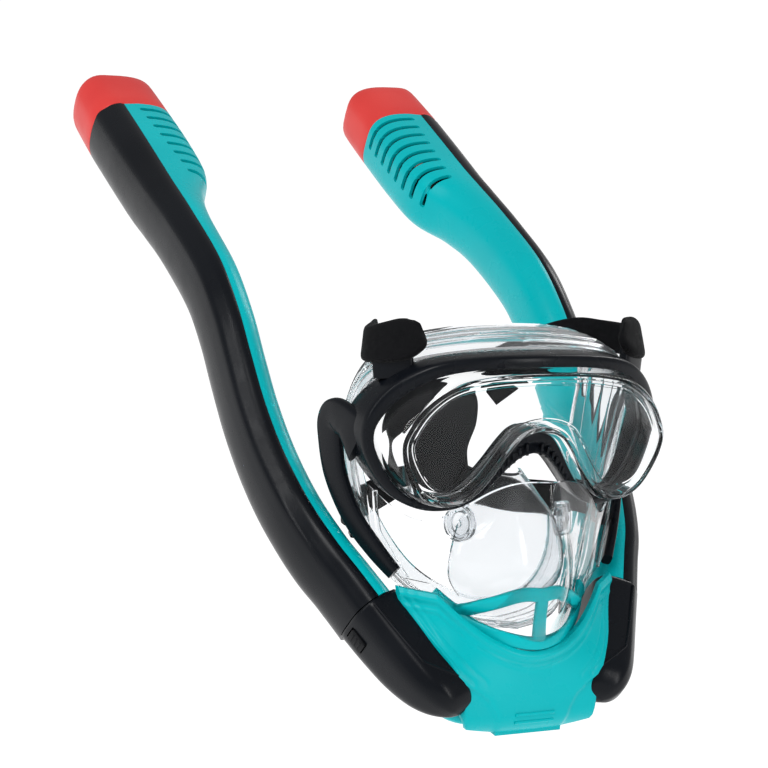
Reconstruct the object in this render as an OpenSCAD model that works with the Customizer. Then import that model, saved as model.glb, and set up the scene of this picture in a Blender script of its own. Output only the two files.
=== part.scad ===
// Full face snorkel: a clear goggle mask with two breathing tubes that pull off the chin.
// Front faces -Y, +X is the wearer's left, +Z is up and the lens stands vertical.
// Everything is drawn from the bridge of the lens; the origin is the centre of the head seal.

/* [Mask] */
// Overall width of the clear lens
lens_w = 169; // [160:1:176]
// How strongly the lens bends back towards its ends (half of 1/radius)
lens_curve = 0.0010; // [0.0006:0.0001:0.0016]
// How strongly the flange and frame behind the lens bend back
flange_curve = 0.0030; // [0.0022:0.0001:0.0034]
// Wall thickness of the clear lens
lens_wall = 2.4; // [2:0.1:3]
// Distance from the lens bridge back to the head seal
seal_back = 84; // [80:1:88]
// Height of the lens bridge above the centre of the head seal
seal_drop = 36; // [30:1:42]

/* [Tubes] */
// Wall thickness of the tube shells
tube_wall = 2; // [1.6:0.1:2.4]
// How square the tube section is (2 is an ellipse)
tube_square = 2.4; // [2:0.1:3]
// Radius of the round spigot that plugs into the elbow
spigot_r = 11; // [9:0.5:11.5]
// Length of the spigot below the tube's shoulder
spigot_len = 20; // [16:1:24]
// Number of louvre slots in each float housing
slot_count = 8; // [6:1:9]
// Radius of the float
float_r = 9; // [7:0.5:9.5]
// How far the float rises to shut the inlet
float_travel = 9; // [6:0.5:10]

/* [Valves] */
// Radius of the purge valve's disc
purge_r = 13; // [10:0.5:13]
// Radius of each one-way valve in the nose pocket
check_r = 8; // [6:0.5:9]
// Thickness of the silicone valve discs
disc_t = 1; // [0.8:0.1:1.2]

/* [Straps] */
// Width of the straps
strap_w = 22; // [18:1:26]
// Thickness of the straps
strap_t = 2; // [1.6:0.1:2.4]

/* [Hidden] */

TEAL = [0.0, 0.72, 0.72];
BLACK = [0.09, 0.095, 0.11];
RED = [0.9, 0.25, 0.22];
CLEAR = [0.85, 0.92, 0.95, 0.4];
SILICONE = [0.8, 0.88, 0.92, 0.5];

// Smooth curve through points ------------------------------------------------------------
function cat(p, q, r, s, t) = 0.5 * (2 * q + (r - p) * t + (2 * p - 5 * q + 4 * r - s) * t * t
    + (3 * q - p - 3 * r + s) * t * t * t);
function spline(pts, steps) = let (last = len(pts) - 1)
    [for (i = [0:last - 1]) for (k = [0:steps - 1])
        cat(pts[max(i - 1, 0)], pts[i], pts[i + 1], pts[min(i + 2, last)], k / steps),
    pts[last]];
function unit(v) = v / norm(v);
function mirrored(half) = concat(half, [for (i = [len(half) - 2:-1:1]) [-half[i][0], half[i][1]]]);
// Moves each point of a closed outline outwards; the outline runs clockwise
function grown(pts, by) = let (n = len(pts)) [for (i = [0:n - 1])
    let (d = unit(pts[(i + 1) % n] - pts[(i + n - 1) % n])) pts[i] + by * [-d[1], d[0]]];

// Solids from loops of points -------------------------------------------------------------
module loft(loops) {
    n = len(loops[0]);
    m = len(loops);
    sides = [for (i = [0:m - 2]) for (k = [0:n - 1]) let (a = i * n + k, b = i * n + (k + 1) % n)
        each [[a, b, b + n], [a, b + n, a + n]]];
    polyhedron([for (l = loops) each l],
        concat(sides, [[for (k = [n - 1:-1:0]) k]], [[for (k = [0:n - 1]) (m - 1) * n + k]]));
}
// A ring that closes on itself, from loops round its path
module ring_loft(loops) {
    n = len(loops[0]);
    m = len(loops);
    polyhedron([for (l = loops) each l],
        [for (i = [0:m - 1]) for (k = [0:n - 1])
            let (a = i * n + k, b = i * n + (k + 1) % n, c = ((i + 1) % m) * n + k,
                d = ((i + 1) % m) * n + (k + 1) % n)
            each [[a, b, d], [a, d, c]]]);
}
// A skin from two grids of points, the outer one and the one behind it
module skin(front, back) {
    rows = len(front);
    n = len(front[0]);
    all = concat([for (r = front) each r], [for (r = back) each r]);
    o = rows * n;
    cells = [for (i = [0:rows - 2]) for (k = [0:n - 2]) let (a = i * n + k)
        each [[a, a + 1, a + n + 1], [a, a + n + 1, a + n],
            [o + a, o + a + n + 1, o + a + 1], [o + a, o + a + n, o + a + n + 1]]];
    ends = [for (k = [0:n - 2]) let (a = k, b = (rows - 1) * n + k)
        each [[a, o + a + 1, a + 1], [a, o + a, o + a + 1], [b, b + 1, o + b + 1], [b, o + b + 1, o + b]]];
    flanks = [for (i = [0:rows - 2]) let (a = i * n, b = i * n + n - 1)
        each [[a, a + n, o + a + n], [a, o + a + n, o + a], [b, o + b + n, b + n], [b, o + b, o + b + n]]];
    polyhedron(all, concat(cells, ends, flanks));
}

// The whole object hangs from the lens bridge
module from_bridge() { translate([0, -seal_back, seal_drop]) children(); }
module side(s) { if (s > 0) children(); else mirror([1, 0, 0]) children(); }

// Goggle outline --------------------------------------------------------------------------
half_w = lens_w / 2;
LENS_HALF = [[0, 31.5], [28, 30.5], [54, 25.5], [71, 15], [half_w - 3, 1], [half_w, -10], [half_w - 4, -23],
    [half_w - 14, -37], [58, -43.5], [44, -43], [33, -36], [24, -25], [16, -13], [9, -5.5], [0, -3]];
lens_line = mirrored(spline(LENS_HALF, 3));
// A slab between two depths that bends back towards its ends, by the curve of each face
module bent_slab(front, back, bend, back_bend) {
    translate([0, 0, -80]) difference() {
        translate([0, 0.5 / bend + front, 0]) cylinder(r = 0.5 / bend, h = 200, $fn = 180);
        translate([0, 0.5 / back_bend + back, -1]) cylinder(r = 0.5 / back_bend, h = 202, $fn = 180);
    }
}
module along_y() { rotate([90, 0, 0]) translate([0, 0, -90]) linear_extrude(130) children(); }
module bent_plate(front, back, bend = flange_curve, back_bend = flange_curve) {
    intersection() {
        along_y() children();
        bent_slab(front, back, bend, back_bend);
    }
}
lens_depth = 15;

module eye_lens() {
    color(CLEAR) from_bridge() {
        bent_plate(0, lens_wall, lens_curve, lens_curve) polygon(lens_line);
        bent_plate(lens_wall, lens_depth, lens_curve, flange_curve) difference() {
            polygon(lens_line);
            polygon(grown(lens_line, -lens_wall));
        }
    }
}
module lens_gasket() {
    color(BLACK) from_bridge() bent_plate(lens_depth + 0.05, lens_depth + 2) difference() {
        polygon(grown(lens_line, -0.3));
        polygon(grown(lens_line, -3));
    }
}
// The frame's outer edge, half of it: an even band that drops deeper over the nose
FRAME_HALF = [[0, 38.5], [30, 37.2], [58, 32], [77, 19.5], [half_w + 3, 4], [half_w + 5.5, -11],
    [half_w + 1, -26], [half_w - 10, -41], [59, -48], [43, -47.5], [31, -42], [22, -32.5],
    [14, -23.5], [7, -17.5], [0, -15.5]];
frame_line = mirrored(spline(FRAME_HALF, 3));
module lens_frame() {
    color(BLACK) from_bridge() difference() {
        bent_plate(8, lens_depth + 9) difference() {
            polygon(frame_line);
            polygon(grown(lens_line, -3));
        }
        bent_plate(-5, lens_depth + 2.1, lens_curve, flange_curve) polygon(grown(lens_line, 0.15));
    }
}

// Face shell, skirt and pocket --------------------------------------------------------------
function bell(x, w) = exp(-x * x / (w * w));
function shell_edge(z) = 76.8 - 0.0021 * (z + 30) * (z + 30) - max(0, -70 - z) * 0.25;
function lip_z(x) = min(-91, -117 + 17 * pow(abs(x) / 40, 1.88));
function shell_y(x, z) = -10 + 0.0098 * x * x - 26 * bell(x, 9 - (z + 24) * 0.14) * bell(z + 76, 36);
SHELL_ROWS = 16;
SHELL_COLS = 28;
function shell_grid(back) = [for (i = [0:SHELL_ROWS]) [for (k = [0:SHELL_COLS])
    let (u = k / SHELL_COLS * 2 - 1, v = i / SHELL_ROWS, top = -24.8 - 30 * bell(abs(u) - 0.75, 0.33),
        z0 = top + (-96 - top) * v, x = u * shell_edge(z0), z = top + (lip_z(x) + 3 - top) * v)
    [x, shell_y(x, z) + back, z]]];
module face_shell() { color(CLEAR) from_bridge() skin(shell_grid(0), shell_grid(2)); }

// Half of the face opening's outline at the seal: x, y, z from brow to chin
SEAL = [[0, 56, 43], [30, 56, 41.5], [56, 64, 34], [70, 78, 16], [75, 86, -12], [74, 86, -42], [65,
    76, -72],
    [48, 58, -98], [24, 44, -112], [0, 40, -116]];
SEAL_FRONT = [[0, 26, 36], [32, 29.5, 34], [62, 38.5, 27], [81, 49, 12], [83, 58, -12], [78, 58, -42],
    [69, 48, -72], [56, 30, -92], [30, 12, -106], [0, 4, -110]];
function around(half) = let (h = spline(half, 3))
    concat(h, [for (i = [len(h) - 2:-1:1]) [-h[i][0], h[i][1], h[i][2]]]);
seal_rear = around(SEAL);
seal_fore = around(SEAL_FRONT);
seal_mid = [0, 70, -30];
module face_skirt() {
    color(SILICONE) from_bridge() ring_loft([for (i = [0:len(seal_rear) - 1])
        let (r = seal_rear[i], f = seal_fore[i], c = [0, r[1], seal_mid[2]], w = unit(c - r))
        [f, (f + r) / 2 - w * 2, r, r + w * 9 + [0, -3, 0], r + w * 9 + [0, -5, 0], r + w * 2.4
            + [0, -2.4, 0],
            (f + r) / 2 + w * 0.6, f + w * 2.4]]);
}
// Check valve centres in the nose pocket
check_at = [29.5, 24, -58];
check_dir = unit([0.92, -0.38, 0.1]);
module to_check(s) {
    side(s) translate(check_at) rotate([0, 0, atan2(check_dir[1], check_dir[0])])
        rotate([0, 90 - asin(check_dir[2]), 0]) children();
}
module pocket_body(grow) {
    loft([for (p = [[-32, 9, 14, 22], [-44, 19, 25, 20], [-58, 31, 30, 14], [-74, 37, 33, 10],
        [-88, 36, 32, 10],
        [-100, 27, 24, 12]])
        [for (a = [0:15:345]) [(p[1] + grow) * cos(a), p[3] + 16 + (p[2] + grow) * 0.8 * sin(a), p[0]]]]);
}
module nose_pocket() {
    color(SILICONE) from_bridge() difference() {
        pocket_body(0);
        difference() {
            pocket_body(-2);
            translate([-60, -80, -34]) cube([120, 200, 10]);
        }
        translate([-60, 42, -130]) cube([120, 60, 120]);
        for (s = [-1, 1]) to_check(s) translate([0, 0, -20]) cylinder(r = check_r + 1.6, h = 40, $fn = 48);
    }
}
module valve_seats() {
    color(SILICONE) from_bridge() for (s = [-1, 1]) to_check(s) difference() {
        cylinder(r = check_r + 1.5, h = 5, $fn = 64);
        translate([0, 0, -1]) cylinder(r = check_r - 2, h = 8, $fn = 64);
        translate([0, 0, 3]) cylinder(r = check_r + 0.4, h = 4, $fn = 64);
    }
}
module check_valve(s) {
    color(SILICONE) from_bridge() to_check(s) translate([0, 0, 3.05]) {
        cylinder(r = check_r, h = disc_t, $fn = 64);
        translate([0, 0, disc_t]) cylinder(r = 2, h = 1, $fn = 32);
    }
}

// Mouth grille and chin -----------------------------------------------------------------------
GRILLE = [[0, -81], [12, -82], [26, -91], [33, -96], [42, -94], [40, -100], [30, -107],
    [15, -112.5], [0, -114]];
module grille_face() {
    difference() {
        polygon(mirrored(spline(GRILLE, 4)));
        for (s = [-1, 1]) scale([s, 1]) polygon([[3.5, -89.5], [10, -89.5], [26, -101],
            [14, -106.5], [3.5, -108]]);
    }
}
module grille_slab(front, back) {
    r = 50;
    translate([0, 0, -130]) difference() {
        translate([0, r + front, 0]) cylinder(r = r, h = 60, $fn = 120);
        translate([0, r + back, -1]) cylinder(r = r, h = 62, $fn = 120);
    }
}
module mouth_grille() {
    color(TEAL) from_bridge() intersection() {
        along_y() grille_face();
        grille_slab(-9, -5.5);
    }
}
// Where the chin's front meets the elbows: height, then half width
CHIN_SIDE = [[-156, 38], [-146.5, 39.2], [-135, 41.3], [-128, 43.6], [-122.5, 46.6], [-112.7, 53.9],
    [-104.4, 59.7], [-96.8, 64.9], [-90, 69]];
// The chin's lower edge: half width, then height
CHIN_LOW = [[0, -162], [20, -161], [38, -157], [41, -150], [44, -142], [47, -133], [54, -121.5],
    [60, -112.5], [66, -103]];
function chin_bend(z) = 0.0009 + 0.0072 / (1 + exp(-(z + 116) / 6));
// Beyond its side line the chin turns back into the elbow
function chin_y(x, z) = -17 + 0.18 * (z + 114) + chin_bend(z) * x * x
    + 1.5 * max(0, abs(x) - lookup(z, CHIN_SIDE) - 1);
function chin_grid(back) = [for (i = [0:14]) [for (k = [0:34])
    let (x = -66 + 132 * k / 34, top = lip_z(x), z = top + (lookup(abs(x), CHIN_LOW) - 2 - top) * i / 14)
    [x, chin_y(x, z) + back, z]]];
module chin_shell() {
    color(TEAL) from_bridge() skin(chin_grid(0), chin_grid(3.5));
}
// Floor of the chin, which carries the purge valve
module chin_plate() {
    color(TEAL) from_bridge() difference() {
        translate([0, 0, -158]) linear_extrude(4) polygon(mirrored(
            spline([[0, -20], [19, -18], [33, -13], [42, -5], [45, 5], [42, 15], [32, 22], [0, 26]], 3)));
        translate([0, 3, -170]) cylinder(r = purge_r + 2, h = 30, $fn = 64);
        screw_places() translate([0, 0, -5]) cylinder(r = 1.45, h = 20, $fn = 32);
    }
}
module screw_places() {
    for (x = [-24, 24]) for (y = [-9, 16]) translate([x, y, -160.1]) children();
}
module purge_seat() {
    color(BLACK) from_bridge() translate([0, 3, -158]) {
        difference() {
            cylinder(r = purge_r + 1.9, h = 6, $fn = 64);
            translate([0, 0, -1]) cylinder(r = purge_r - 2, h = 9, $fn = 64);
            translate([0, 0, -0.1]) cylinder(r = purge_r + 0.5, h = 3.1, $fn = 64);
        }
        for (a = [0, 90]) rotate([0, 0, a]) translate([-purge_r + 1, -1, 4]) cube([2 * purge_r - 2, 2, 2]);
    }
}
module purge_disc() {
    color(SILICONE) from_bridge() translate([0, 3, -158 + 2.9 - disc_t]) cylinder(r = purge_r,
        h = disc_t, $fn = 64);
}
module purge_cover() {
    color(TEAL) from_bridge() difference() {
        union() {
            translate([-20, -19, -163.5]) cube([40, 41, 2.5]);
            for (s = [-1, 1]) translate([s * 18.5 - 1.5, -19, -161.1]) cube([3, 41, 3]);
        }
        for (y = [-12, -4, 4, 12]) translate([-14, y + 3, -170]) cube([28, 3.5, 12]);
    }
}

// Side arms ------------------------------------------------------------------------------------
ARM = [[88.6, 54.6, -9], [89.5, 58.5, -7], [90.5, 64, -8], [91, 70, -12], [90.5, 71, -20],
    [88, 65.5, -40], [82.6, 51.5, -60], [74.5, 38.5, -74], [66.2, 26.8, -85]];
ARM_W = [17, 18.5, 20, 20.5, 19, 17, 14, 12, 9];
module side_arm(s) {
    path = spline(ARM, 3);
    n = len(path) - 1;
    color(BLACK) from_bridge() side(s) loft([for (i = [0:n])
        let (t = unit(path[min(i + 1, n)] - path[max(i - 1, 0)]), out = unit([1, -0.25,
            0] - t * ([1, -0.25, 0] * t)),
            b = cross(t, out), w = lookup(i / n * 8, [for (k = [0:8]) [k, ARM_W[k]]]) / 2)
        [for (a = [22.5:45:360]) let (c = cos(a), d = sin(a))
            path[i] + out * 2.6 * sign(c) * pow(abs(c), 0.6) + b * w * sign(d) * pow(abs(d), 0.6)]]);
}

// Tubes -------------------------------------------------------------------------------------------
// Front of the seam between the two halves, then inner width, outer width and depth of the section
TUBE = [[76.2, 22.5, -95.2, 15, 13.5, 45], [83.3, 35.6, -84.3, 14.5, 13.2, 45],
    [91.5, 51, -72, 14.3, 13.2, 45],
    [99, 74.2, -55.7, 14, 13.4, 44.5], [103.4, 102, -36.6, 14, 13.5, 45.5],
    [105.7, 126.8, -16, 14, 13.5, 46.5], [106.6, 149.6, 5.8, 14.2, 13.2, 47.5],
    [106.8, 173.9, 27.8, 14.6, 13.2, 47], [106.8, 206.7, 48.7, 15, 13.8, 45],
    [106.8, 256.7, 67.2, 17, 14.8, 43.5], [106.7, 290, 77.8, 23.5, 16, 44.5],
    [106.4, 315.3, 86, 33.5, 17, 46.5], [106.6, 350, 98, 36, 18, 47], [107, 386.6, 110.4, 36, 18.5, 47]];
tube_row = spline(TUBE, 3);
tube_n = len(tube_row) - 1;
function front_at(i) = [tube_row[i][0], tube_row[i][1], tube_row[i][2]];
pull = unit([0.384, 0.708, 0.589]);
cap_dir = unit([0.005, 0.947, 0.321]);
function up_at(i) = i == 0 ? pull : i == tube_n ? cap_dir : unit(front_at(i + 1) - front_at(i - 1));
function out_of(up) = unit([1, 0, 0] - up * up[0]);
function back_of(up) = cross(up, out_of(up));
function power(c, e) = sign(c) * pow(abs(c), e);
// One quarter-to-quarter arc of the section, on the outer (s = 1) or inner (s = -1) half
function half_arc(row, up, s, inset, gap) = let (f = [row[0], row[1], row[2]],
    w = (s > 0 ? row[4] : row[3]) - inset,
    d = row[5] / 2)
    [for (a = [-90:15:90])
        f + out_of(up) * s * (gap + (w - gap) * power(cos(a), 2 / tube_square))
        + back_of(up) * (d + (d - inset) * power(sin(a), 2 / tube_square))];
function shell_loop(row, up, s) = let (o = half_arc(row, up, s, 0, 0.05), i = half_arc(row, up, s,
    tube_wall, 0.05),
    l = concat(o, [for (k = [len(i) - 1:-1:0]) i[k]])) s < 0 ? l : [for (k = [len(l) - 1:-1:0]) l[k]];
function full_loop(row, up, inset) = let (o = half_arc(row, up, 1, inset, 0), i = half_arc(row, up,
    -1, inset, 0))
    concat(i, [for (k = [len(o) - 2:-1:1]) o[k]]);
// Frame of the float housing: z along the housing towards the cap
house = tube_row[tube_n - 3];
house_up = cap_dir;
house_mid = [house[0], house[1], house[2]] + out_of(house_up) * (house[4] - house[3]) / 2
    + back_of(house_up) * house[5] / 2;
module at_frame(origin, up) {
    x = out_of(up);
    y = cross(up, x);
    multmatrix([[x[0], y[0], up[0], origin[0]], [x[1], y[1], up[1], origin[1]],
        [x[2], y[2], up[2], origin[2]], [0, 0, 0, 1]]) children();
}
module tube_outer(s) {
    color(BLACK) from_bridge() side(s) loft([for (i = [0:tube_n]) shell_loop(tube_row[i], up_at(i), 1)]);
}
slot_pitch = 11.2;
// The louvres wrap the upper inner corner of the housing, with a row of small windows under them
module tube_inner(s) {
    color(TEAL) from_bridge() side(s) difference() {
        loft([for (i = [0:tube_n]) shell_loop(tube_row[i], up_at(i), -1)]);
        for (k = [0:slot_count - 1]) at_frame(house_mid, house_up) translate([-36, 0,
            29 - slot_pitch * k]) {
            translate([0, -28, 0]) cube([39, 16.5, 3.8]);
            translate([0, -7, 0]) cube([20, 7, 3.8]);
        }
    }
}
module tube_cap(s) {
    top = tube_row[tube_n];
    end = [top[0], top[1], top[2]] + cap_dir * 0.1;
    // Distance along the cap, then how far the section draws in
    dome = [[0, 0], [24, 0.3], [34, 0.9], [40, 2.8], [43.5, 6.5], [45, 10], [45.6, 15]];
    function ring(d, inset) = [for (p = full_loop([end[0], end[1], end[2], top[3], top[4], top[5]], cap_dir,
        inset)) p + cap_dir * d];
    color(RED) from_bridge() side(s) loft(concat(
        [for (k = [len(dome) - 1:-1:0]) ring(max(dome[k][0] - 2.5, 0), min(dome[k][1] + 2, 15.5))],
        [for (d = dome) ring(d[0], d[1])]));
}
module spigot(s) {
    row = tube_row[0];
    base = front_at(0) + out_of(pull) * (row[4] - row[3]) / 2 + back_of(pull) * row[5] / 2;
    color(BLACK) from_bridge() side(s) at_frame(base, pull) difference() {
        union() {
            translate([0, 0, 0.5]) cylinder(r = 11.9, h = 4, $fn = 64);
            translate([0, 0, -spigot_len]) cylinder(r = spigot_r, h = spigot_len + 1, $fn = 64);
        }
        translate([0, 0, -spigot_len - 1]) cylinder(r = spigot_r - 2.4, h = spigot_len + 8, $fn = 64);
        translate([0, 0, -10]) difference() {
            cylinder(r = spigot_r + 1, h = 2.4, $fn = 64);
            translate([0, 0, -1]) cylinder(r = spigot_r - 1.3, h = 5, $fn = 64);
        }
    }
}
module spigot_ring(s) {
    row = tube_row[0];
    base = front_at(0) + out_of(pull) * (row[4] - row[3]) / 2 + back_of(pull) * row[5] / 2;
    color(BLACK) from_bridge() side(s) at_frame(base, pull) translate([0, 0, -8.8])
        rotate_extrude($fn = 64) translate([spigot_r - 0.62, 0]) circle(r = 0.6, $fn = 24);
}
guide_len = 38;
module float_guide(s) {
    color(BLACK) from_bridge() side(s) at_frame(house_mid, house_up) difference() {
        translate([0, 0, -guide_len / 2]) cylinder(r = float_r + 1.9, h = guide_len, $fn = 64);
        translate([0, 0, -guide_len / 2 - 1]) cylinder(r = 4, h = guide_len + 2, $fn = 48);
        translate([0, 0, -guide_len / 2 + 2]) cylinder(r = float_r + 0.4, h = guide_len - 4, $fn = 64);
        for (a = [45:90:315]) rotate([0, 0, a]) translate([5, -3, -guide_len / 2 + 6])
            cube([10, 6, guide_len - 12]);
    }
}
float_len = guide_len - 4 - float_travel - 0.6;
module float(s) {
    color(RED) from_bridge() side(s) at_frame(house_mid, house_up) translate([0, 0, -guide_len / 2 + 2.3])
        cylinder(r = float_r, h = float_len, $fn = 64);
}

// Elbows ---------------------------------------------------------------------------------------------
elbow_row = tube_row[0];
elbow_base = front_at(0) + out_of(pull) * (elbow_row[4] - elbow_row[3]) / 2 + back_of(pull)
    * elbow_row[5] / 2;
// Each elbow section: distance below the tube, then its inner, outer, front and back limits
ELBOW = [[0.3, -15.2, 14.2, -0.3, 46.6], [15, -15, 13.8, 0, 45.8], [30, -15, 13.4, 0, 44],
    [40, -15, 13, 0, 41.5], [50, -15, 12.2, 0, 37.5], [57, -15, 10.8, 0.4, 33.8], [63, -15, 8.6, 1.8, 29.6],
    [68, -15, 5.5, 4.5, 25], [72, -14.5, 1, 9, 20.5], [74, -14, -4, 13, 17]];
function elbow_loop(e) = let (o = out_of(pull), k = back_of(pull),
    c = front_at(0) - pull * e[0] + o * (e[1] + e[2]) / 2 + k * (e[3] + e[4]) / 2)
    [for (a = [0:15:345]) c + o * (e[2] - e[1]) / 2 * power(cos(a), 0.6)
        + k * (e[4] - e[3]) / 2 * power(sin(a), 0.6)];
module elbow(s) {
    color(BLACK) from_bridge() side(s) difference() {
        loft([for (e = ELBOW) elbow_loop(e)]);
        at_frame(elbow_base, pull) translate([0, 0, -spigot_len - 1]) cylinder(r = spigot_r + 0.06,
            h = 30, $fn = 64);
        translate(elbow_base - pull * 20) sphere(r = 9, $fn = 48);
        translate(elbow_base - pull * 20) rotate([0, -90, 12]) cylinder(r = 8, h = 60, $fn = 48);
        at_frame(elbow_base - pull * 10, pull) translate([7, -5, -6]) cube([20, 10, 12.5]);
    }
}
module latch_button(s) {
    color(BLACK) from_bridge() side(s) at_frame(elbow_base - pull * 10, pull) translate([13.2, -4.5, -5.5])
        cube([3, 9, 11]);
}
module chin_screws() {
    color([0.7, 0.7, 0.72]) from_bridge() screw_places() {
        cylinder(r = 2.6, h = 2, $fn = 32);
        translate([0, 0, 1.9]) cylinder(r = 1.4, h = 7, $fn = 32);
    }
}

// Straps ------------------------------------------------------------------------------------------------
// Bracket on the frame's upper corner, inside the fold of the strap
module strap_clip(s) {
    along = unit([19, 14, -10.5]);
    out = unit([0.45, -0.6, 0.6] - along * ([0.45, -0.6, 0.6] * along));
    across = cross(along, out);
    color(BLACK) from_bridge() side(s) {
        multmatrix([[along[0], out[0], across[0], 73.5], [along[1], out[1], across[1], 41.5],
            [along[2], out[2], across[2], 41], [0, 0, 0, 1]]) difference() {
            cube([20, 4, 13], center = true);
            cube([14, 6, 7], center = true);
        }
        translate([68.8, 36.5, 28]) rotate([0, 4, 0]) cylinder(r = 2.6, h = 11, $fn = 32);
    }
}
// Each row of the path is a centre, a width and a thickness
module ribbon(rows, wide) {
    n = len(rows) - 1;
    path = [for (r = rows) [r[0], r[1], r[2]]];
    loft([for (i = [0:n])
        let (t = unit(path[min(i + 1, n)] - path[max(i - 1, 0)]), w = unit(wide - t * (wide * t)),
            h = cross(t, w))
        [for (c = [[-1, -1], [1, -1], [1, 1], [-1, 1]]) path[i] + w * c[0] * rows[i][3] / 2
            + h * c[1] * strap_t / 2]]);
}
UPPER = [[59, 30, 52, 12], [65, 31.5, 50, 19], [73, 34.5, 47, 22], [80, 39.5, 43, 23], [86, 47, 39.5, 23],
    [89.5, 56, 37, 22], [88, 66, 36.5, strap_w], [82, 77, 37, strap_w], [72, 90, 32, strap_w],
    [57, 105, 19, strap_w], [42, 117, 0, strap_w], [30, 121, -12, strap_w]];
LOWER = [[76, 66.5, -64, 16], [74, 79, -66, 16], [66, 94, -70, 18], [48, 110, -76, 20], [24, 121, -80, 20]];
module lower_clip(s) {
    color(BLACK) from_bridge() side(s) translate([78, 59, -64.5]) rotate([0, 0, 15]) difference() {
        cube([3.6, 8, 20], center = true);
        cube([8, 4.2, 16], center = true);
    }
}
module upper_strap(s) {
    color(BLACK) from_bridge() side(s) ribbon(spline(UPPER, 3), [-0.15, 0.35, 1]);
}
module lower_strap(s) {
    color(BLACK) from_bridge() side(s) ribbon(spline(LOWER, 4), [0, 0.1, 1]);
}
module harness_pad() {
    color(BLACK) from_bridge() translate([0, 126, -40]) rotate([90, 0, 0])
        translate([0, 0, -3]) linear_extrude(5) polygon(mirrored(
            spline([[0, 34], [16, 32], [27, 24], [29, 8], [25, -8], [27, -24], [20, -33], [0, -35]], 3)));
}

eye_lens();
lens_gasket();
lens_frame();
face_shell();
face_skirt();
nose_pocket();
valve_seats();
check_valve(1);  // check_valve_left
check_valve(-1);  // check_valve_right
mouth_grille();
chin_shell();
chin_plate();
purge_seat();
purge_disc();
purge_cover();
side_arm(1);  // side_arm_left
side_arm(-1);  // side_arm_right
elbow(1);  // elbow_left
elbow(-1);  // elbow_right
latch_button(1);  // latch_button_left
latch_button(-1);  // latch_button_right
chin_screws();
strap_clip(1);  // strap_clip_left
strap_clip(-1);  // strap_clip_right
lower_clip(1);  // lower_clip_left
lower_clip(-1);  // lower_clip_right
upper_strap(1);  // upper_strap_left
upper_strap(-1);  // upper_strap_right
lower_strap(1);  // lower_strap_left
lower_strap(-1);  // lower_strap_right
harness_pad();
tube_outer(1);  // tube_outer_left
tube_outer(-1);  // tube_outer_right
tube_inner(1);  // tube_inner_left
tube_inner(-1);  // tube_inner_right
tube_cap(1);  // tube_cap_left
tube_cap(-1);  // tube_cap_right
spigot(1);  // spigot_left
spigot(-1);  // spigot_right
spigot_ring(1);  // spigot_ring_left
spigot_ring(-1);  // spigot_ring_right
float_guide(1);  // float_guide_left
float_guide(-1);  // float_guide_right
float(1);  // float_left
float(-1);  // float_right
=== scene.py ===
"""Looks of the full face snorkel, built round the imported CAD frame.

Shapes are worked out in millimetres from the bridge of the lens, the same datum that the CAD part uses,
and are written in metres in the part's own frame.
"""
import math

import bmesh
import bpy
import numpy as np
from mathutils import Matrix, Vector


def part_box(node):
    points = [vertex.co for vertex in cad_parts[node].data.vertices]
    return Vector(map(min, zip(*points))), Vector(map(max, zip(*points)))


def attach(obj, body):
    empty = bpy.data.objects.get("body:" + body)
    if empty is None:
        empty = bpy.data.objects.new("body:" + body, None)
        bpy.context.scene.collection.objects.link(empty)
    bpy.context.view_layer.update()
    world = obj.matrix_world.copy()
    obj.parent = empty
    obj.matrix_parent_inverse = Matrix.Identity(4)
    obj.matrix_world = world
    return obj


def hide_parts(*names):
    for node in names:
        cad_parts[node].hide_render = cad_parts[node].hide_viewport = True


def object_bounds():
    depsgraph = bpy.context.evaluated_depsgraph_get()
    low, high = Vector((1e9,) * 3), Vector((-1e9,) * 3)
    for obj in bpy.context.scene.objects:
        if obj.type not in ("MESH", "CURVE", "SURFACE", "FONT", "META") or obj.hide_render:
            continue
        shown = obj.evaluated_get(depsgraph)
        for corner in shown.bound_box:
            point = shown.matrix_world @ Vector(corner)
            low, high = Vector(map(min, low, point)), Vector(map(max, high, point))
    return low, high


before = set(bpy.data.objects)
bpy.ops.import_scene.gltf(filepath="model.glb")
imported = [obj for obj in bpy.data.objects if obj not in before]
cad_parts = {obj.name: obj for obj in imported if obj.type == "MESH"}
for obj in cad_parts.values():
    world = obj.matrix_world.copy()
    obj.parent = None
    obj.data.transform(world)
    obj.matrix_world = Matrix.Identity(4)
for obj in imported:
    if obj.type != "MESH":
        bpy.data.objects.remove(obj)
CAD_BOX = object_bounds()

MM = 0.001
LENS_TOP = 31.5
LENS_LOW, LENS_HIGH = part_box("eye_lens")
BRIDGE = np.array((0.0, LENS_LOW.y, LENS_HIGH.z - LENS_TOP * MM))
SIDES = (("left", 1), ("right", -1))


# ---------------------------------------------------------------- curves
def spline(points, steps):
    """A smooth open curve through the points, the same one that the CAD part uses."""
    pts = np.array(points, float)
    last = len(pts) - 1
    out = []
    for i in range(last):
        p, q, r, s = pts[max(i - 1, 0)], pts[i], pts[i + 1], pts[min(i + 2, last)]
        for t in np.arange(steps) / steps:
            out.append(0.5 * (2 * q + (r - p) * t + (2 * p - 5 * q + 4 * r - s) * t * t
                              + (3 * q - p - 3 * r + s) * t ** 3))
    return np.array(out + [pts[last]])


def mirrored(half):
    """A closed outline from its right half, which runs from the top centre to the bottom centre."""
    back = half[-2:0:-1] * np.array([-1] + [1] * (half.shape[1] - 1))
    return np.vstack([half, back])


def outward(line):
    """Unit normals of a closed outline in x and z that runs clockwise."""
    step = np.roll(line, -1, 0) - np.roll(line, 1, 0)
    step /= np.linalg.norm(step, axis=1)[:, None]
    return np.stack([-step[:, 1], step[:, 0]], 1)


def smoothed(line, rounds):
    for _ in range(rounds):
        line = line * 0.5 + (np.roll(line, 1, 0) + np.roll(line, -1, 0)) * 0.25
    return line


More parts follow.
